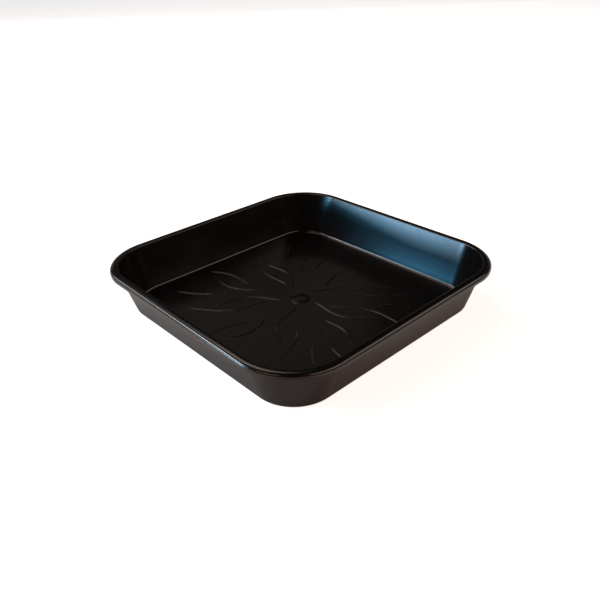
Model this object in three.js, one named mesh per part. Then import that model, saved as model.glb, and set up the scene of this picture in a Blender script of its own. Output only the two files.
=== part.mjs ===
// Square plant saucer: a shallow black tray, moulded in plastic, that catches the water under a large pot.
// Its walls lean outwards, its corners are round, its rim is turned down and ribs on its floor draw leaves.
// Millimetres, +Z up. The origin is the middle of the underside.
import * as THREE from 'three';

const degrees = THREE.MathUtils.degToRad;

// Rim and walls
const rimSide = 400;
const rimHeight = 63.5;
const rimCornerRadius = 78;
const rimWidth = 10.5;
const wallLean = degrees(16);
const wallThickness = 2.4;
const footHeight = 22;
const footLean = degrees(20.5);
const footBend = 250;
const flangeThickness = 2.4;
const rimCrown = 0.7;
const rimCrest = 2.4;
const rimCrownRadius = 8;
const rimInnerRound = 1.6;
const rimOuterRound = 3;
const lipDrop = 7;
const lipThickness = 2.4;
const lipRound = 0.8;

// Floor
const floorThickness = 2.2;
const floorFillet = 4;
const baseEdgeRadius = 2.5;
const bossRadius = 14;
const bossHeight = 1;
const bossFlank = 4;
const bossEdgeRound = 32;
const bossLand = 5.5;
const bossDishDepth = 0.2;

// Ribs: low rounded beads that fade out at both ends
const ribWidth = 3;
const ribHeight = 0.6;
const ribTaper = 9;
const ribTip = 0.3;
const beadSection = [[-0.5, 0], [0.5, 0], [0.27, 0.5], [0, 1], [-0.27, 0.5]];

// Petals and leaflets: the ornament turns five times about the middle. A rib bows away from its leaf's axis.
// It starts outside the boss and stops inside the floor's edge, and its bow runs on past the bead by a lead.
const leaves = 5;
const bowSharpness = 1.5;
const petalInnerBow = 16;
const petalInnerStart = 9;
const petalInnerStop = 50.5;
const petalOuterBow = 14.3;
const petalOuterStart = 32;
const petalOuterStop = 16.5;
const petalLead = 2;
const leafletTurn = 36;
const leafletInnerBow = 15.8;
const leafletInnerStart = 52;
const leafletInnerStop = 32.5;
const leafletOuterBow = 16;
const leafletOuterStart = 74;
const leafletOuterStop = 9.5;
const leafletLead = 16;
const leafletOuterTail = 33;

// Corner ribs: one more bead between two leaves at each corner of the square. Its middle lies at the angle
// turn, it is tilted from there, and it stops short of the floor's edge in the corner. Angles are in degrees.
const farRibLength = 55;
const farRibStop = 40.5;
const nearRibLength = 47;
const nearRibStop = 65.5;
const cornerRibBow = 2.5;
const farRib = { length: farRibLength, stop: farRibStop };
const nearRib = { length: nearRibLength, stop: nearRibStop };
const cornerRibs = [
  { name: 'corner_rib_back', turn: 52.5, tilt: -10, side: 1, ...farRib },
  { name: 'corner_rib_left', turn: 127.8, tilt: -2, side: 1, ...farRib },
  { name: 'corner_rib_front', turn: 234.5, tilt: -10, side: -1, ...nearRib },
  { name: 'corner_rib_right', turn: 306.4, tilt: 18, side: 1, ...nearRib },
];

// Fineness of the facets
const cornerSteps = 12;
const arcStep = degrees(18);
const ribSteps = 14;
const bossSides = 40;

// All arcs of a corner share a centre, so a section is drawn as (distance from it, height) and carried round.
const cornerCentre = rimSide / 2 - rimCornerRadius;
const innerRimEdge = rimCornerRadius - rimWidth;
const straightWall = (z) => innerRimEdge - (rimHeight - z) * Math.tan(wallLean);
const outerWall = (z) => straightWall(z) + wallThickness / Math.cos(wallLean);
const footExtra = Math.tan(footLean) - Math.tan(wallLean);
const innerWall = (z) => straightWall(z) - Math.max(0, footHeight - z) * footExtra;
const flangeSeat = rimHeight - rimCrown - flangeThickness;
const lipBottom = rimHeight - lipDrop;
const point = (x, y) => new THREE.Vector2(x, y);

// Points of the arc that rounds the corner between two straight edges of an outline
function cornerArc(before, corner, after, radius) {
  if (radius === 0) return [corner];
  const back = before.clone().sub(corner).normalize();
  const ahead = after.clone().sub(corner).normalize();
  const halfAngle = back.angleTo(ahead) / 2;
  const middle = back.clone().add(ahead).normalize();
  const centre = corner.clone().addScaledVector(middle, radius / Math.sin(halfAngle));
  const reach = radius / Math.tan(halfAngle);
  const start = corner.clone().addScaledVector(back, reach).sub(centre).angle();
  const end = corner.clone().addScaledVector(ahead, reach).sub(centre).angle();
  const clockwise = back.cross(ahead) > 0;
  const steps = Math.max(2, Math.ceil((Math.PI - 2 * halfAngle) / arcStep));
  return new THREE.ArcCurve(centre.x, centre.y, radius, start, end, clockwise).getPoints(steps);
}

// A closed outline from its sharp corners, each given as [x, y, radius]
function roundedOutline(corners) {
  const sharp = corners.map(([x, y]) => point(x, y));
  const count = sharp.length;
  return corners.flatMap(([, , radius], i) =>
    cornerArc(sharp[(i + count - 1) % count], sharp[i], sharp[(i + 1) % count], radius));
}

// Closed surface through a row of rings. The row either joins up with itself or is capped at both ends.
function skin(rings, joinsUp) {
  const size = rings[0].length;
  const geometry = new THREE.BufferGeometry().setFromPoints(rings.flat());
  const index = [];
  const spans = joinsUp ? rings.length : rings.length - 1;
  for (let i = 0; i < spans; i += 1) {
    const here = i * size;
    const next = ((i + 1) % rings.length) * size;
    for (let j = 0; j < size; j += 1) {
      const k = (j + 1) % size;
      index.push(here + j, next + j, next + k);
      index.push(here + j, next + k, here + k);
    }
  }
  const last = (rings.length - 1) * size;
  for (let j = 1; j < size - 1 && !joinsUp; j += 1) {
    index.push(0, j, j + 1);
    index.push(last, last + j + 1, last + j);
  }
  geometry.setIndex(index);
  geometry.computeVertexNormals();
  return geometry;
}

// The angles at which a ring goes round the rounded square, with the corner that each belongs to
function stations() {
  const found = [];
  for (let corner = 0; corner < 4; corner += 1) {
    const middle = Math.PI / 4 + corner * Math.PI / 2;
    const x = cornerCentre * Math.SQRT2 * Math.cos(middle);
    const y = cornerCentre * Math.SQRT2 * Math.sin(middle);
    for (let step = 0; step <= cornerSteps; step += 1) {
      const angle = (corner + step / cornerSteps) * Math.PI / 2;
      found.push({ x, y, cos: Math.cos(angle), sin: Math.sin(angle) });
    }
  }
  return found;
}

const around = (at, rho, z) => new THREE.Vector3(at.x + rho * at.cos, at.y + rho * at.sin, z);

function sweepRound(outline) {
  return skin(stations().map((at) => outline.map((p) => around(at, p.x, p.y))), true);
}

// Flat plate whose lower edge is rounded as far as its thickness lets it
function floorPlate() {
  const edgeRadius = Math.min(baseEdgeRadius, floorThickness / (1 - Math.sin(wallLean)));
  const top = point(outerWall(floorThickness), floorThickness);
  const edge = cornerArc(top, point(outerWall(0), 0), point(0, 0), edgeRadius);
  const levels = edgeRadius < baseEdgeRadius ? edge : [top, ...edge];
  return skin(levels.map((p) => stations().map((at) => around(at, p.x, p.y))), false);
}

// Leaning wall that stands on the plate. Its inner foot bends out a little more and ends in a fillet.
function sideWall() {
  const innerFoot = point(innerWall(floorThickness), floorThickness);
  const innerTop = point(innerWall(flangeSeat), flangeSeat);
  const innerBend = point(innerWall(footHeight), footHeight);
  const bend = cornerArc(innerTop, innerBend, innerFoot, footBend);
  const fillet = cornerArc(innerBend, innerFoot, point(0, floorThickness), floorFillet);
  const outerFoot = point(outerWall(floorThickness), floorThickness);
  const outerTop = point(outerWall(flangeSeat), flangeSeat);
  return sweepRound([outerFoot, outerTop, innerTop, ...bend, ...fillet]);
}

// Crowned rim on top of the wall, turned down into a lip that leaves a groove behind it
function rimLip() {
  const edgeHeight = rimHeight - rimCrown;
  const crest = rimCornerRadius - rimWidth / 2;
  const lipInside = rimCornerRadius - lipThickness;
  return sweepRound(roundedOutline([
    [innerWall(flangeSeat), flangeSeat, 0],
    [outerWall(flangeSeat), flangeSeat, 0],
    [lipInside, flangeSeat, lipRound],
    [lipInside, lipBottom, lipRound],
    [rimCornerRadius, lipBottom, lipRound],
    [rimCornerRadius, edgeHeight, rimOuterRound],
    [crest + rimCrest / 2, rimHeight, rimCrownRadius],
    [crest - rimCrest / 2, rimHeight, rimCrownRadius],
    [innerWall(edgeHeight), edgeHeight, rimInnerRound],
  ]));
}

// Raised disc with a sloping flank, a flat ring on top and a dish inside the ring
function centreBoss() {
  const ringRadius = bossRadius - bossFlank;
  const dishRadius = ringRadius - bossLand;
  const bowl = (dishRadius ** 2 + bossDishDepth ** 2) / (2 * bossDishDepth);
  const bowlAngle = Math.asin(dishRadius / bowl);
  const bowlCentre = bossHeight - bossDishDepth + bowl;
  const bottom = -Math.PI / 2;
  const dish = new THREE.ArcCurve(0, bowlCentre, bowl, bottom + bowlAngle, bottom, true).getPoints(4);
  const topEdge = point(ringRadius, bossHeight);
  const edge = cornerArc(point(bossRadius, 0), topEdge, point(0, bossHeight), bossEdgeRound);
  dish[dish.length - 1].x = 0;
  return new THREE.LatheGeometry([point(0, 0), point(bossRadius, 0), ...edge, ...dish], bossSides)
    .rotateX(Math.PI / 2);
}

// Bead along a line that runs outwards along +X and wanders sideways by shift(x)
function bead(from, to, shift) {
  const slopeStep = 0.01;
  const rings = [];
  for (let i = 0; i <= ribSteps; i += 1) {
    const x = from + (to - from) * i / ribSteps;
    const slope = (shift(x + slopeStep) - shift(x - slopeStep)) / (2 * slopeStep);
    const across = new THREE.Vector2(slope, -1).normalize();
    const fade = Math.min(1, Math.min(x - from, to - x) / ribTaper);
    const size = ribTip + (1 - ribTip) * Math.sin(fade * Math.PI / 2);
    rings.push(beadSection.map(([side, up]) => new THREE.Vector3(
      x + across.x * side * ribWidth * size,
      shift(x) + across.y * side * ribWidth * size,
      up * ribHeight * size)));
  }
  return skin(rings, false);
}

const filletReach = floorFillet * Math.tan(Math.PI / 4 - footLean / 2);
const floorEdge = innerWall(floorThickness) - filletReach;
const floorHalfSide = cornerCentre + floorEdge;
const floorCornerReach = cornerCentre * Math.SQRT2 + floorEdge;

// Rib of a leaf whose axis is +X
function leafRib(bow, start, stop, leadIn, leadOut) {
  const from = bossRadius + start;
  const to = floorHalfSide - stop;
  const span = to + leadOut - from + leadIn;
  const along = (x) => Math.min(1, Math.max(0, (x - from + leadIn) / span));
  return bead(from, to, (x) => bow * Math.sin(Math.PI * along(x)) ** bowSharpness);
}

// Rib of a corner, about its own middle
function cornerRib(length, bow) {
  return bead(-length / 2, length / 2, (x) => bow * Math.cos(Math.PI * x / length));
}

function blackPlastic() {
  return new THREE.MeshStandardMaterial({ color: 0x1b1918, roughness: 0.36, metalness: 0 });
}

function piece(name, geometry) {
  const mesh = new THREE.Mesh(geometry, blackPlastic());
  mesh.name = name;
  return mesh;
}

const saucer = new THREE.Group();
saucer.add(piece('floor_plate', floorPlate()));
saucer.add(piece('side_wall', sideWall()));
saucer.add(piece('rim_lip', rimLip()));

const ornament = new THREE.Group();
ornament.position.z = floorThickness;
ornament.add(piece('centre_boss', centreBoss()));
for (let leaf = 1; leaf <= leaves; leaf += 1) {
  const petal = new THREE.Group();
  petal.rotation.z = (leaf - 1) * 2 * Math.PI / leaves;
  petal.add(piece(`petal_inner_rib_${leaf}`,
    leafRib(-petalInnerBow, petalInnerStart, petalInnerStop, petalLead, petalLead)));
  petal.add(piece(`petal_outer_rib_${leaf}`,
    leafRib(petalOuterBow, petalOuterStart, petalOuterStop, petalLead, petalLead)));
  const leaflet = new THREE.Group();
  leaflet.rotation.z = petal.rotation.z + degrees(leafletTurn);
  leaflet.add(piece(`leaflet_inner_rib_${leaf}`,
    leafRib(leafletInnerBow, leafletInnerStart, leafletInnerStop, leafletLead, leafletLead)));
  leaflet.add(piece(`leaflet_outer_rib_${leaf}`,
    leafRib(-leafletOuterBow, leafletOuterStart, leafletOuterStop, leafletLead, leafletOuterTail)));
  ornament.add(petal, leaflet);
}
for (const { name, turn, tilt, side, length, stop } of cornerRibs) {
  const rib = piece(name, cornerRib(length, side * cornerRibBow));
  const middle = floorCornerReach - stop - length / 2;
  rib.position.set(middle * Math.cos(degrees(turn)), middle * Math.sin(degrees(turn)), 0);
  rib.rotation.z = degrees(turn + tilt);
  ornament.add(rib);
}
saucer.add(ornament);

export default saucer;
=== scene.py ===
import math

import bpy
from mathutils import Matrix, Vector


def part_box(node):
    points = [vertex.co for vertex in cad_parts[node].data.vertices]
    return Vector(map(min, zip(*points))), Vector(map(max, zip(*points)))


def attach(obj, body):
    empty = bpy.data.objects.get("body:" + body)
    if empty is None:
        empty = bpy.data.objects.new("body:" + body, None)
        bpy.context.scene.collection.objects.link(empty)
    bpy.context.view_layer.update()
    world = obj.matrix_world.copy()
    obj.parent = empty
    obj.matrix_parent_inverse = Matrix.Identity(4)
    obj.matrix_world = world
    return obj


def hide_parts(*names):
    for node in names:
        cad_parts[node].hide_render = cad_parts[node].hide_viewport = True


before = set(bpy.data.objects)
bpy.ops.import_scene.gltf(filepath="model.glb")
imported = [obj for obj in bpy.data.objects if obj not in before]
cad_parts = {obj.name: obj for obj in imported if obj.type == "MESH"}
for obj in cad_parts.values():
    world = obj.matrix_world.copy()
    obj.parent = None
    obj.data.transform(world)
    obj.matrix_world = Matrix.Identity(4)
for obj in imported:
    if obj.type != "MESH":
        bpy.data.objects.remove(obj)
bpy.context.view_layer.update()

scene = bpy.context.scene
scene.view_settings.view_transform = "Standard"


# Camera. It looks down on the dish from in front of one corner, a little rolled, as a camera held by hand.
# It aims at the middle of the underside, so the frame needs no shift.
view_azimuth = math.radians(-42.34)
view_elevation = math.radians(30.54)
view_roll = math.radians(-1.73)
view_distance = 0.84075
lens = 36.7
sensor = 36.0

view_turn = Matrix.Rotation(view_azimuth, 4, "Z") @ Matrix.Rotation(math.pi / 2 - view_elevation, 4, "X")
view_turn = view_turn @ Matrix.Rotation(view_roll, 4, "Z")
camera_data = bpy.data.cameras.new("camera")
camera_data.lens = lens
camera_data.sensor_width = sensor
camera = bpy.data.objects.new("camera", camera_data)
camera.matrix_world = view_turn @ Matrix.Translation((0, 0, view_distance))
scene.collection.objects.link(camera)
scene.camera = camera


# Dish. The real saucer is one thin injection moulding in black plastic: a flat floor, walls that lean
# outwards, round corners and a crowned rim that is turned down into a lip. Its section is drawn once and
# carried round a rounded square, so floor, wall and rim run into each other without a seam.
rim_low, rim_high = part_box("rim_lip")
floor_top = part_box("floor_plate")[1].z
flange_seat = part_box("side_wall")[1].z
rim_top = rim_high.z
lip_bottom = rim_low.z
corner_radius = 0.078
rim_width = 0.0105
wall_lean = math.radians(16)
wall_thickness = 0.0024
rim_crown = 0.0007
crest_width = 0.0006
crest_inset = 0.0068
crown_radius = 0.008
rim_inner_round = 0.0016
rim_outer_round = 0.0048
lip_thickness = 0.0024
lip_round = 0.0003
floor_fillet = 0.004
foot_height = 0.022
foot_lean = math.radians(20.5)
foot_bend = 0.25
base_edge_round = 0.0025
floor_margin = 0.012
section_arc_step = math.radians(8)
section_support = 0.0004
dish_corner_steps = 40
sharp_angle = math.radians(60)
weld_distance = 0.00001
corner_reach = rim_high.x - corner_radius
rim_edge_height = rim_top - rim_crown
crest_middle = corner_radius - crest_inset


def inner_wall(height):
    """Distance of the wall's inner face from the centre of the corner arcs. Its foot leans a little more."""
    foot = max(0, foot_height - height)
    straight = rim_top - height - foot
    return corner_radius - rim_width - straight * math.tan(wall_lean) - foot * math.tan(foot_lean)


def outer_wall(height):
    """Distance of the wall's outer face from the centre of the corner arcs. It leans evenly all the way."""
    inner = corner_radius - rim_width - (rim_top - height) * math.tan(wall_lean)
    return inner + wall_thickness / math.cos(wall_lean)


def rounded_section(corners):
    """Points of an open outline given by its sharp corners (distance, height, radius). Each corner becomes
    an arc, with a support point on both sides that keeps the shading of the flats beside it flat."""
    points = [Vector(corners[0][:2])]
    for before, here, after in zip(corners, corners[1:], corners[2:]):
        corner = Vector(here[:2])
        if here[2] == 0:
            points.append(corner)
            continue
        back = (Vector(before[:2]) - corner).normalized()
        ahead = (Vector(after[:2]) - corner).normalized()
        half_angle = back.angle(ahead) / 2
        reach = here[2] / math.tan(half_angle)
        middle = corner + (back + ahead).normalized() * here[2] / math.sin(half_angle)
        start = corner + back * reach - middle
        sweep = math.pi - 2 * half_angle
        if back.cross(ahead) > 0:
            sweep = -sweep
        steps = max(2, math.ceil(abs(sweep) / section_arc_step))
        points.append(corner + back * (reach + section_support))
        for step in range(steps + 1):
            points.append(middle + Matrix.Rotation(sweep * step / steps, 2) @ start)
        points.append(corner + ahead * (reach + section_support))
    points.append(Vector(corners[-1][:2]))
    return points


def section_curve(name, points, path_radius, closed=False):
    """A poly curve in its own XY plane: X is the distance outwards from the path and minus Y the height."""
    curve = bpy.data.curves.new(name, "CURVE")
    curve.dimensions = "3D"
    spline = curve.splines.new("POLY")
    spline.points.add(len(points) - 1)
    spline.use_cyclic_u = closed
    for knot, point in zip(spline.points, points):
        knot.co = (point.x - path_radius, -point.y, 0, 1)
    holder = bpy.data.objects.new(name, curve)
    scene.collection.objects.link(holder)
    return holder


class Tree:
    """A node tree in the making: it adds nodes and joins their sockets."""

    def __init__(self, name, kind, inputs, outputs):
        self.tree = bpy.data.node_groups.new(name, kind)
        for label, socket_type in inputs:
            self.tree.interface.new_socket(label, in_out="INPUT", socket_type=socket_type)
        for label, socket_type in outputs:
            self.tree.interface.new_socket(label, in_out="OUTPUT", socket_type=socket_type)
        self.inputs = self.tree.nodes.new("NodeGroupInput").outputs
        self.outputs = self.tree.nodes.new("NodeGroupOutput").inputs

    def add(self, kind, settings=None, **values):
        """A new node. Each value feeds the socket of that name, or of that number after an underscore."""
        node = self.tree.nodes.new(kind)
        for setting, value in (settings or {}).items():
            setattr(node, setting, value)
        for label, value in values.items():
            key = int(label[1:]) if label[0] == "_" else label.replace("_", " ")
            self.feed(node.inputs[key], value)
        return node

    def feed(self, socket, value):
        """Joins a socket to another, or to each of a list, or sets it to a plain value."""
        if isinstance(value, bpy.types.NodeSocket):
            self.tree.links.new(value, socket)
        elif isinstance(value, (list, tuple)) and value and isinstance(value[0], bpy.types.NodeSocket):
            for source in value:
                self.tree.links.new(source, socket)
        else:
            socket.default_value = value

    def math(self, operation, first, second=0.0):
        """The result of a Math node. An operation on one value needs no second."""
        return self.add("ShaderNodeMath", {"operation": operation}, _0=first, _1=second).outputs[0]


def smooth_and_done(build, geometry):
    """Last nodes of every tree: smooth faces, sharp edges past an angle, real geometry and the material."""
    smooth = build.add("GeometryNodeSetShadeSmooth", {"domain": "FACE"}, Geometry=geometry)
    angle = build.add("GeometryNodeInputMeshEdgeAngle").outputs["Unsigned Angle"]
    sharp = build.add("FunctionNodeCompare", {"data_type": "FLOAT", "operation": "GREATER_THAN"},
                      _0=angle, _1=build.inputs["Sharp angle"])
    creased = build.add("GeometryNodeSetShadeSmooth", {"domain": "EDGE"}, Geometry=smooth.outputs[0],
                        Selection=sharp.outputs[0], Shade_Smooth=False)
    real = build.add("GeometryNodeRealizeInstances", Geometry=creased.outputs[0])
    painted = build.add("GeometryNodeSetMaterial", Geometry=real.outputs[0],
                        Material=build.inputs["Material"])
    build.feed(build.outputs["Geometry"], painted.outputs[0])


def moulded_ring_tree():
    """Carries a section round a rounded square, closes its two open ends with flat faces and keeps, for each
    point, the place on the path that it came from."""
    ring = Tree("moulded ring", "GeometryNodeTree", [
        ("Section", "NodeSocketGeometry"), ("Corner reach", "NodeSocketFloat"),
        ("Corner radius", "NodeSocketFloat"), ("Corner steps", "NodeSocketInt"),
        ("Upper end", "NodeSocketFloat"), ("Lower end", "NodeSocketFloat"),
        ("Sharp angle", "NodeSocketFloat"), ("Material", "NodeSocketMaterial"),
    ], [("Geometry", "NodeSocketGeometry")])
    given = ring.inputs
    half_side = ring.math("ADD", given["Corner reach"], given["Corner radius"])
    side = ring.math("MULTIPLY", half_side, 2.0)
    square = ring.add("GeometryNodeCurvePrimitiveQuadrilateral", {"mode": "RECTANGLE"},
                      Width=side, Height=side)
    path = ring.add("GeometryNodeFilletCurve", {"mode": "POLY"}, Curve=square.outputs[0],
                    Count=given["Corner steps"], Radius=given["Corner radius"])
    place = ring.add("GeometryNodeInputPosition").outputs[0]
    marked = ring.add("GeometryNodeStoreNamedAttribute", {"data_type": "FLOAT_VECTOR", "domain": "POINT"},
                      Geometry=path.outputs[0], Name="station", Value=place)
    swept = ring.add("GeometryNodeCurveToMesh", Curve=marked.outputs[0], Profile_Curve=given["Section"])
    neighbours = ring.add("GeometryNodeInputMeshEdgeNeighbors").outputs[0]
    open_edge = ring.add("FunctionNodeCompare", {"data_type": "INT", "operation": "EQUAL"},
                         _2=neighbours, _3=1).outputs[0]
    height = ring.add("ShaderNodeSeparateXYZ", _0=place).outputs["Z"]
    half_way = ring.math("MULTIPLY", ring.math("ADD", given["Upper end"], given["Lower end"]), 0.5)
    above = ring.add("FunctionNodeCompare", {"data_type": "FLOAT", "operation": "GREATER_THAN"},
                     _0=height, _1=half_way).outputs[0]
    parts = [swept.outputs[0]]
    for end, operation in (("Upper end", "AND"), ("Lower end", "NIMPLY")):
        chosen = ring.add("FunctionNodeBooleanMath", {"operation": operation}, _0=open_edge, _1=above)
        edge = ring.add("GeometryNodeMeshToCurve", Mesh=swept.outputs[0], Selection=chosen.outputs[0])
        face = ring.add("GeometryNodeFillCurve", {"mode": "NGONS"}, Curve=edge.outputs[0])
        lift = ring.add("ShaderNodeCombineXYZ", Z=given[end])
        face = ring.add("GeometryNodeTransform", Geometry=face.outputs[0], Translation=lift.outputs[0])
        if end == "Lower end":
            face = ring.add("GeometryNodeFlipFaces", Mesh=face.outputs[0])
        parts.append(face.outputs[0])
    joined = ring.add("GeometryNodeJoinGeometry", Geometry=parts)
    merged = ring.add("GeometryNodeMergeByDistance", Geometry=joined.outputs[0], Distance=weld_distance)
    smooth_and_done(ring, merged.outputs[0])
    return ring.tree


def grown_piece(name, holder, tree, values):
    """Runs a tree on an object and returns its result as a plain mesh object at the origin."""
    modifier = holder.modifiers.new(tree.name, "NODES")
    modifier.node_group = tree
    sockets = {item.name: item.identifier for item in tree.interface.items_tree if item.in_out == "INPUT"}
    for label, value in values.items():
        modifier[sockets[label]] = value
    bpy.context.view_layer.update()
    graph = bpy.context.evaluated_depsgraph_get()
    mesh = bpy.data.meshes.new_from_object(holder.evaluated_get(graph), preserve_all_data_layers=True,
                                           depsgraph=graph)
    mesh.name = name
    holder.modifiers.remove(modifier)
    bpy.data.objects.remove(holder)
    piece = bpy.data.objects.new(name, mesh)
    scene.collection.objects.link(piece)
    return piece


plastic_dark = (0.0030, 0.0027, 0.0024, 1)
plastic_light = (0.0042, 0.0038, 0.0034, 1)
plastic_gloss_tint = (1.0, 0.94, 0.90, 1)
plastic_index = 1.5
plastic_glossy = 0.17
plastic_dull = 0.21
grain_size = 0.0009
grain_depth = 0.000004
grain_detail = 2.0
grain_fade = 0.6
cloud_size = 0.06
cloud_detail = 4.0
cloud_fade = 0.55
cloud_low = 0.3
cloud_high = 0.7
streak_size = 0.0016
streak_depth = 0.000008
streak_detail = 3.0


def moulded_skin_group():
    """Skin of a moulding: a fine grain from the tool, cloudy gloss and a slightly uneven black."""
    skin = Tree("moulded skin", "ShaderNodeTree", [
        ("Place", "NodeSocketVector"), ("Grain size", "NodeSocketFloat"), ("Cloud size", "NodeSocketFloat"),
        ("Dark", "NodeSocketColor"), ("Light", "NodeSocketColor"),
        ("Glossy", "NodeSocketFloat"), ("Dull", "NodeSocketFloat"),
    ], [("Colour", "NodeSocketColor"), ("Roughness", "NodeSocketFloat"), ("Height", "NodeSocketFloat")])
    given = skin.inputs
    grain = skin.add("ShaderNodeTexNoise", Vector=given["Place"], Detail=grain_detail, Roughness=grain_fade,
                     Scale=skin.math("DIVIDE", 1.0, given["Grain size"]))
    cloud = skin.add("ShaderNodeTexNoise", Vector=given["Place"], Detail=cloud_detail, Roughness=cloud_fade,
                     Scale=skin.math("DIVIDE", 1.0, given["Cloud size"]))
    gloss = skin.add("ShaderNodeMapRange", Value=cloud.outputs[0], From_Min=cloud_low, From_Max=cloud_high,
                     To_Min=given["Glossy"], To_Max=given["Dull"])
    black = skin.add("ShaderNodeMix", {"data_type": "RGBA"}, _0=cloud.outputs[0],
                     _6=given["Dark"], _7=given["Light"])
    skin.feed(skin.outputs["Colour"], black.outputs[2])
    skin.feed(skin.outputs["Roughness"], gloss.outputs[0])
    skin.feed(skin.outputs["Height"], grain.outputs[0])
    return skin.tree


moulded_skin = moulded_skin_group()


class Finish:
    """A material in the making, with the sockets of its Principled shader by name."""

    def __init__(self, name):
        self.material = bpy.data.materials.new(name)
        self.material.use_nodes = True
        self.tree = self.material.node_tree
        self.shader = self.tree.nodes["Principled BSDF"].inputs

    add = Tree.add
    feed = Tree.feed
    math = Tree.math


def moulded_plastic(name):
    """The black plastic of the whole moulding, given as a finish and the bump of its grain."""
    finish = Finish(name)
    finish.shader["IOR"].default_value = plastic_index
    finish.shader["Specular Tint"].default_value = plastic_gloss_tint
    place = finish.add("ShaderNodeTexCoord").outputs["Object"]
    skin = finish.add("ShaderNodeGroup", {"node_tree": moulded_skin}, Place=place,
                      Grain_size=grain_size, Cloud_size=cloud_size, Dark=plastic_dark, Light=plastic_light,
                      Glossy=plastic_glossy, Dull=plastic_dull)
    finish.feed(finish.shader["Base Color"], skin.outputs["Colour"])
    finish.feed(finish.shader["Roughness"], skin.outputs["Roughness"])
    grain = finish.add("ShaderNodeBump", Distance=grain_depth, Height=skin.outputs["Height"])
    return finish, grain.outputs[0]


def dish_plastic():
    """The plastic of the dish. Fine draw marks run down its walls, square to the rim."""
    finish, grain = moulded_plastic("dish plastic")
    station = finish.add("ShaderNodeAttribute", {"attribute_name": "station"}).outputs["Vector"]
    streak = finish.add("ShaderNodeTexNoise", Vector=station, Scale=1 / streak_size, Detail=streak_detail)
    bump = finish.add("ShaderNodeBump", Distance=streak_depth, Height=streak.outputs[0], Normal=grain)
    finish.feed(finish.shader["Normal"], bump.outputs[0])
    return finish.material


dish_section = rounded_section([
    (inner_wall(floor_top) - floor_margin, floor_top, 0),
    (inner_wall(floor_top), floor_top, floor_fillet),
    (inner_wall(foot_height), foot_height, foot_bend),
    (inner_wall(rim_edge_height), rim_edge_height, rim_inner_round),
    (crest_middle - crest_width / 2, rim_top, crown_radius),
    (crest_middle + crest_width / 2, rim_top, crown_radius),
    (corner_radius, rim_edge_height, rim_outer_round),
    (corner_radius, lip_bottom, lip_round),
    (corner_radius - lip_thickness, lip_bottom, lip_round),
    (corner_radius - lip_thickness, flange_seat, lip_round),
    (outer_wall(flange_seat), flange_seat, lip_round),
    (outer_wall(0), 0, base_edge_round),
    (outer_wall(0) - floor_margin, 0, 0),
])
moulded_ring = moulded_ring_tree()
dish = grown_piece("dish", section_curve("dish section", dish_section, corner_radius), moulded_ring, {
    "Corner reach": corner_reach,
    "Corner radius": corner_radius,
    "Corner steps": dish_corner_steps,
    "Upper end": floor_top,
    "Lower end": 0.0,
    "Sharp angle": sharp_angle,
    "Material": dish_plastic(),
})
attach(dish, "root")
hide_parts("floor_plate", "side_wall", "rim_lip")


# Boss. A low round button in the middle of the floor, where the plastic enters the mould. Its top is a
# shallow dome, and it is part of the same moulding as the floor that it stands on.
boss_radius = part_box("centre_boss")[1].x
boss_rise = 0.00135
boss_foot_flare = 0.0014
foot_sink = 0.0003
boss_corner_steps = 24
# The rings of the dome start a little out from the middle, where a flat face closes it. The path has a
# short straight between its arcs, just long enough that no ring inside it crosses itself.
boss_rings = 24
boss_first_ring = 3
path_nick = 0.00026


def ornament_plastic():
    """The same plastic on the raised ornament, without the marks that run down the walls."""
    finish, grain = moulded_plastic("ornament plastic")
    finish.feed(finish.shader["Normal"], grain)
    return finish.material


ornament_finish = ornament_plastic()
boss_section = []
for ring in range(boss_first_ring, boss_rings + 1):
    share = ring / boss_rings
    boss_section.append(Vector((share * boss_radius, floor_top + boss_rise * (1 - share ** 2))))
boss_section.append(Vector((boss_radius + boss_foot_flare, floor_top - foot_sink)))
boss_section.append(Vector((boss_radius, floor_top - 2 * foot_sink)))
boss = grown_piece("boss", section_curve("boss section", boss_section, boss_radius), moulded_ring, {
    "Corner reach": path_nick,
    "Corner radius": boss_radius - path_nick,
    "Corner steps": boss_corner_steps,
    "Upper end": boss_section[0].y,
    "Lower end": floor_top - 2 * foot_sink,
    "Sharp angle": sharp_angle,
    "Material": ornament_finish,
})
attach(boss, "root")
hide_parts("centre_boss")


# Leaf ribs. Low rounded beads on the floor draw five petals and five leaflets about the boss. They stiffen
# the thin floor, and each fades out at both ends. They are cut into the tool, so they are part of the floor.
bead_width = 0.0030
bead_height = 0.0006
bead_taper = 0.009
bead_tip = 0.3
bead_steps = 64
bead_section_steps = 16
bow_sharpness = 1.5
leaves = 5
leaflet_turn = math.pi / leaves
floor_edge = inner_wall(floor_top) - floor_fillet * math.tan(math.pi / 4 - foot_lean / 2)
floor_half_side = corner_reach + floor_edge
floor_corner_reach = corner_reach * math.sqrt(2) + floor_edge


def bead_section():
    """A smooth hump with flared feet, closed below the floor."""
    hump = []
    for step in range(bead_section_steps + 1):
        across = 2 * step / bead_section_steps - 1
        hump.append(Vector((across * bead_width / 2, bead_height * math.cos(across * math.pi / 2) ** 2)))
    return [Vector((-bead_width / 2, -foot_sink))] + hump + [Vector((bead_width / 2, -foot_sink))]


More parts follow.
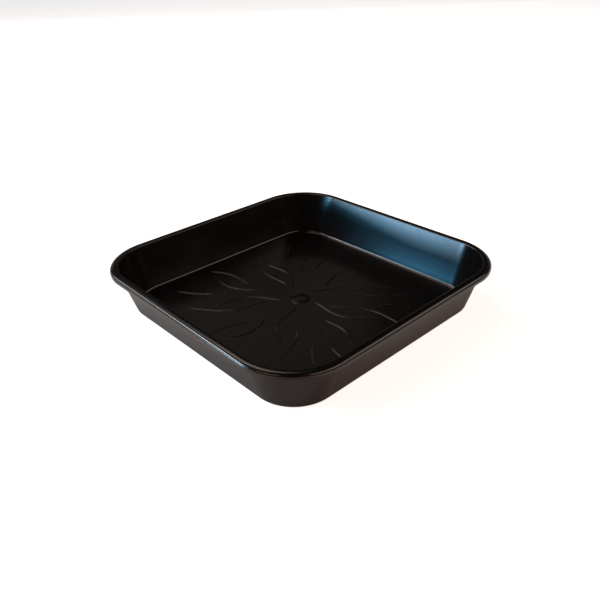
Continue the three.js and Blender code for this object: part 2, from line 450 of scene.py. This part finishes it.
def bead_rib_tree():
    """A bead along a line that bows sideways in a wave, which runs past each end by its lead. Its copies turn
    about the middle and move to their place."""
    rib = Tree("bead rib", "GeometryNodeTree", [
        ("Section", "NodeSocketGeometry"), ("From", "NodeSocketFloat"), ("To", "NodeSocketFloat"),
        ("Bow", "NodeSocketFloat"), ("Sharpness", "NodeSocketFloat"), ("Lead in", "NodeSocketFloat"),
        ("Lead out", "NodeSocketFloat"), ("Taper", "NodeSocketFloat"), ("Tip", "NodeSocketFloat"),
        ("Steps", "NodeSocketInt"), ("Turn", "NodeSocketFloat"), ("Copies", "NodeSocketInt"),
        ("Place", "NodeSocketVector"), ("Sharp angle", "NodeSocketFloat"), ("Material", "NodeSocketMaterial"),
    ], [("Geometry", "NodeSocketGeometry")])
    given = rib.inputs
    start = rib.add("ShaderNodeCombineXYZ", X=given["From"])
    stop = rib.add("ShaderNodeCombineXYZ", X=given["To"])
    line = rib.add("GeometryNodeCurvePrimitiveLine", Start=start.outputs[0], End=stop.outputs[0])
    line = rib.add("GeometryNodeResampleCurve", Curve=line.outputs[0], Count=given["Steps"])
    place = rib.add("GeometryNodeInputPosition").outputs[0]
    along = rib.add("ShaderNodeSeparateXYZ", _0=place).outputs["X"]
    first = rib.math("SUBTRACT", given["From"], given["Lead in"])
    last = rib.math("ADD", given["To"], given["Lead out"])
    share = rib.math("DIVIDE", rib.math("SUBTRACT", along, first), rib.math("SUBTRACT", last, first))
    wave = rib.math("SINE", rib.math("MULTIPLY", share, math.pi))
    shift = rib.math("MULTIPLY", rib.math("POWER", wave, given["Sharpness"]), given["Bow"])
    from_end = rib.math("MINIMUM", rib.math("SUBTRACT", along, given["From"]),
                        rib.math("SUBTRACT", given["To"], along))
    fade = rib.math("MINIMUM", rib.math("DIVIDE", from_end, given["Taper"]), 1.0)
    rise = rib.math("SINE", rib.math("MULTIPLY", fade, math.pi / 2))
    size = rib.add("ShaderNodeMapRange", Value=rise, To_Min=given["Tip"], To_Max=1.0)
    sized = rib.add("GeometryNodeSetCurveRadius", Curve=line.outputs[0], Radius=size.outputs[0])
    offset = rib.add("ShaderNodeCombineXYZ", Y=shift)
    bowed = rib.add("GeometryNodeSetPosition", Geometry=sized.outputs[0], Offset=offset.outputs[0])
    upright = rib.add("GeometryNodeSetCurveNormal", {"mode": "Z_UP"}, Curve=bowed.outputs[0])
    radius = rib.add("GeometryNodeInputRadius").outputs[0]
    bead = rib.add("GeometryNodeCurveToMesh", Curve=upright.outputs[0], Profile_Curve=given["Section"],
                   Fill_Caps=True, Scale=radius)
    points = rib.add("GeometryNodePoints", Count=given["Copies"])
    step = rib.math("DIVIDE", 2 * math.pi, given["Copies"])
    index = rib.add("GeometryNodeInputIndex").outputs[0]
    angle = rib.math("ADD", rib.math("MULTIPLY", index, step), given["Turn"])
    spin = rib.add("ShaderNodeCombineXYZ", Z=angle)
    copies = rib.add("GeometryNodeInstanceOnPoints", Points=points.outputs[0], Instance=bead.outputs[0],
                     Rotation=spin.outputs[0])
    solid = rib.add("GeometryNodeRealizeInstances", Geometry=copies.outputs[0])
    placed = rib.add("GeometryNodeTransform", Geometry=solid.outputs[0], Translation=given["Place"])
    smooth_and_done(rib, placed.outputs[0])
    return rib.tree


bead_rib = bead_rib_tree()


def bead_piece(name, nodes, **values):
    """One rib or one ring of like ribs, standing on the floor."""
    settings = {
        "Taper": bead_taper,
        "Tip": bead_tip,
        "Steps": bead_steps,
        "Sharp angle": sharp_angle,
        "Material": ornament_finish,
    }
    settings.update({label.replace("_", " "): value for label, value in values.items()})
    holder = section_curve(name + " section", bead_section(), 0, closed=True)
    piece = grown_piece(name, holder, bead_rib, settings)
    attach(piece, "root")
    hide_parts(*nodes)


def leaf_ribs(kind, bow, start, stop, lead_in, lead_out, first_turn):
    """A ring of five ribs that start outside the boss and stop inside the floor's edge."""
    bead_piece(
        kind + "_beads",
        [f"{kind}_rib_{leaf}" for leaf in range(1, leaves + 1)],
        From=boss_radius + start,
        To=floor_half_side - stop,
        Bow=bow,
        Sharpness=bow_sharpness,
        Lead_in=lead_in,
        Lead_out=lead_out,
        Turn=first_turn,
        Copies=leaves,
        Place=(0, 0, floor_top),
    )


leaf_ribs("petal_inner", bow=-0.016, start=0.009, stop=0.0505, lead_in=0.002, lead_out=0.002,
          first_turn=0)
leaf_ribs("petal_outer", bow=0.0143, start=0.032, stop=0.0165, lead_in=0.002, lead_out=0.002,
          first_turn=0)
leaf_ribs("leaflet_inner", bow=0.0158, start=0.052, stop=0.0325, lead_in=0.016, lead_out=0.016,
          first_turn=leaflet_turn)
leaf_ribs("leaflet_outer", bow=-0.016, start=0.074, stop=0.0095, lead_in=0.016, lead_out=0.033,
          first_turn=leaflet_turn)


# Corner ribs. One more bead lies between two leaves towards each corner of the square, where the leaves
# leave the floor bare. It is moulded with the floor like the others.
corner_bow = 0.0025
corner_sharpness = 1.0
far_length = 0.055
far_stop = 0.0405
near_length = 0.047
near_stop = 0.0655

# Each rib: its corner, the heading of its middle and its tilt in degrees, the side that it bows to, its
# length and how far it stops from the corner of the floor.
for corner, heading, tilt, side, length, stop in (
    ("back", 52.5, -10, 1, far_length, far_stop),
    ("left", 127.8, -2, 1, far_length, far_stop),
    ("front", 234.5, -10, -1, near_length, near_stop),
    ("right", 306.4, 18, 1, near_length, near_stop),
):
    middle = floor_corner_reach - stop - length / 2
    direction = math.radians(heading)
    bead_piece(
        f"corner_bead_{corner}",
        [f"corner_rib_{corner}"],
        From=-length / 2,
        To=length / 2,
        Bow=side * corner_bow,
        Sharpness=corner_sharpness,
        Lead_in=0.0,
        Lead_out=0.0,
        Turn=direction + math.radians(tilt),
        Copies=1,
        Place=(middle * math.cos(direction), middle * math.sin(direction), floor_top),
    )


# Studio. A floor of white paper runs to the horizon in a dim room, with soft panels round it: a box at the
# back left and one at the right, a cool window low on the left, warm fill on both sides of the camera and
# dim walls behind the dish, which its floor mirrors.
paper_size = 60.0
paper_colour = (0.86, 0.76, 0.72, 1)
paper_white = 0.78
# Painted reflection: a glow on the paper that only mirrors see, stronger and warm on the left.
painted_left_glow = 0.68
painted_right_glow = 0.51
painted_left_tint = (1.0, 0.86, 0.70, 1)
# Painted shade: the glow that only mirrors see fades out close to the dish and in a strip in front of it.
painted_shade_start = -0.027
painted_shade_reach = 0.072
painted_front_strip = 0.065
painted_front_fade = 0.13
paper_gap = 0.0002
room_colour = (0.020, 0.019, 0.018, 1)

paper_mesh = bpy.data.meshes.new("studio_floor")
paper_reach = paper_size / 2
paper_corners = [
    (x * paper_reach, y * paper_reach, -paper_gap)
    for x, y in ((-1, -1), (1, -1), (1, 1), (-1, 1))
]
paper_mesh.from_pydata(paper_corners, [], [(0, 1, 2, 3)])
studio_floor = bpy.data.objects.new("studio_floor", paper_mesh)
scene.collection.objects.link(studio_floor)


def studio_paper():
    """White paper. It keeps the shadow and looks brighter to the camera. What mirrors it beside the
    dish sees a painted glow, warmer on the left, and painted shade close to the dish and in front of it."""
    finish = Finish("studio paper")
    shader = finish.shader
    shader["Base Color"].default_value = paper_colour
    shader["Roughness"].default_value = 1.0
    shader["Specular IOR Level"].default_value = 0.0
    rays = finish.add("ShaderNodeLightPath").outputs
    seen = finish.math("MAXIMUM", rays["Is Camera Ray"], rays["Is Transmission Ray"])
    white = finish.math("MULTIPLY", seen, paper_white)
    place = finish.add("ShaderNodeTexCoord").outputs["Object"]
    along = finish.add("ShaderNodeSeparateXYZ", _0=place).outputs
    from_x = finish.math("ABSOLUTE", along["X"])
    from_y = finish.math("ABSOLUTE", along["Y"])
    # Painted shade in the mirrored glow, near the dish and in the strip in front of it.
    painted_shade_edge = rim_high.x + painted_shade_start
    painted_shade_beside = finish.add("ShaderNodeMapRange", Value=finish.math("MAXIMUM", from_x, from_y),
                        From_Min=painted_shade_edge, From_Max=painted_shade_edge + painted_shade_reach)
    across = finish.math("SUBTRACT", along["X"], along["Y"])
    painted_front_shade = finish.add("ShaderNodeMapRange", Value=finish.math("ABSOLUTE", across),
                            From_Min=painted_front_strip, From_Max=painted_front_strip + painted_front_fade)
    # Painted reflection: how strongly mirrors see the paper glow, more on the left than on the right.
    painted_glow_level = finish.add("ShaderNodeMapRange", Value=across, From_Min=-painted_front_strip, From_Max=painted_front_strip,
                      To_Min=painted_left_glow, To_Max=painted_right_glow)
    painted_lit_share = finish.math("MULTIPLY", painted_shade_beside.outputs[0], painted_front_shade.outputs[0])
    painted_mirror_glow = finish.math("MULTIPLY", rays["Is Glossy Ray"], finish.math("MULTIPLY", painted_lit_share, painted_glow_level.outputs[0]))
    finish.feed(shader["Emission Strength"], finish.math("ADD", white, painted_mirror_glow))
    # Painted warm tint of that mirrored glow on the left, seen by mirrors only.
    painted_warm_side = finish.add("ShaderNodeMapRange", Value=across, From_Min=-painted_front_strip, From_Max=painted_front_strip,
                         To_Min=1.0, To_Max=0.0)
    painted_warm_share = finish.math("MULTIPLY", rays["Is Glossy Ray"], painted_warm_side.outputs[0])
    colour = finish.add("ShaderNodeMix", {"data_type": "RGBA"}, _0=painted_warm_share, _6=(1, 1, 1, 1), _7=painted_left_tint)
    finish.feed(shader["Emission Color"], colour.outputs[2])
    return finish.material


paper_mesh.materials.append(studio_paper())

world = bpy.data.worlds.new("room")
world.use_nodes = True
world.node_tree.nodes["Background"].inputs["Color"].default_value = room_colour
scene.world = world


def soft_lamp(name, place, width, height, colour):
    """A flat lamp that faces the origin, hidden from the camera. Its colour is how bright it looks."""
    strength = max(colour)
    lamp = bpy.data.lights.new(name, "AREA")
    lamp.shape = "RECTANGLE"
    lamp.size = width
    lamp.size_y = height
    lamp.color = [part / strength for part in colour]
    lamp.energy = math.pi * width * height * strength
    stand = bpy.data.objects.new(name, lamp)
    aim = place.to_track_quat("Z", "Y").to_matrix().to_4x4()
    stand.matrix_world = Matrix.Translation(place) @ aim
    stand.visible_camera = False
    scene.collection.objects.link(stand)


# Each panel: from and to azimuth in degrees, counted from +X towards +Y, from and to elevation, and colour.
panel_distance = 4.0
for name, first, last, low, high, colour in (
    ("back left box", 57, 100, 44, 72, (2.4, 2.05, 1.92)),
    ("right box", -75, -15, 28, 50, (2.1, 1.74, 1.54)),
    ("right fill", 252, 287, 28, 44, (3.0, 2.0, 1.5)),
    ("left fill", 168, 202, 28, 44, (2.2, 1.3, 0.8)),
    ("window ledge", 139, 152, 0, 0.8, (9.0, 13.2, 17.4)),
    ("window sill", 139, 152, 0.8, 2.5, (18.0, 26.4, 34.8)),
    ("window frame", 139, 152, 2.5, 5, (8.0, 14.6, 21.5)),
    ("window side", 152, 172, 0, 5, (1.5, 2.2, 2.8)),
    ("window pane", 139, 152, 5, 22, (1.2, 5.8, 10.4)),
    ("window top", 126, 146, 22, 36, (14.2, 15.0, 15.6)),
    ("left wall", 100, 126, 18, 36, (2.9, 3.2, 3.3)),
    ("window reveal", 152, 161, 5, 22, (0.4, 1.7, 2.9)),
    ("right wall", -12, 20, 2, 14, (0.20, 0.20, 0.19)),
    ("right wall high", -72, -18, 16, 28, (0.9, 0.76, 0.69)),
    ("backdrop", 22, 84, 2, 11, (0.26, 0.24, 0.22)),
    ("backdrop left", 66, 84, 11, 22, (0.36, 0.355, 0.35)),
    ("backdrop right", 6, 22, 11, 22, (0.36, 0.33, 0.30)),
    ("back wall", 38, 50, 26, 41, (0.096, 0.095, 0.091)),
    ("back wall left", 50, 75, 29, 41, (0.108, 0.106, 0.102)),
    ("back corner", 76, 94, 37, 44, (0.6, 0.6, 0.6)),
):
    azimuth = math.radians(first + last) / 2
    elevation = math.radians(low + high) / 2
    level = math.cos(elevation)
    towards = Vector((level * math.cos(azimuth), level * math.sin(azimuth), math.sin(elevation)))
    width = 2 * panel_distance * level * math.tan(math.radians(last - first) / 2)
    height = 2 * panel_distance * math.tan(math.radians(high - low) / 2)
    soft_lamp(name, panel_distance * towards, width, height, colour)
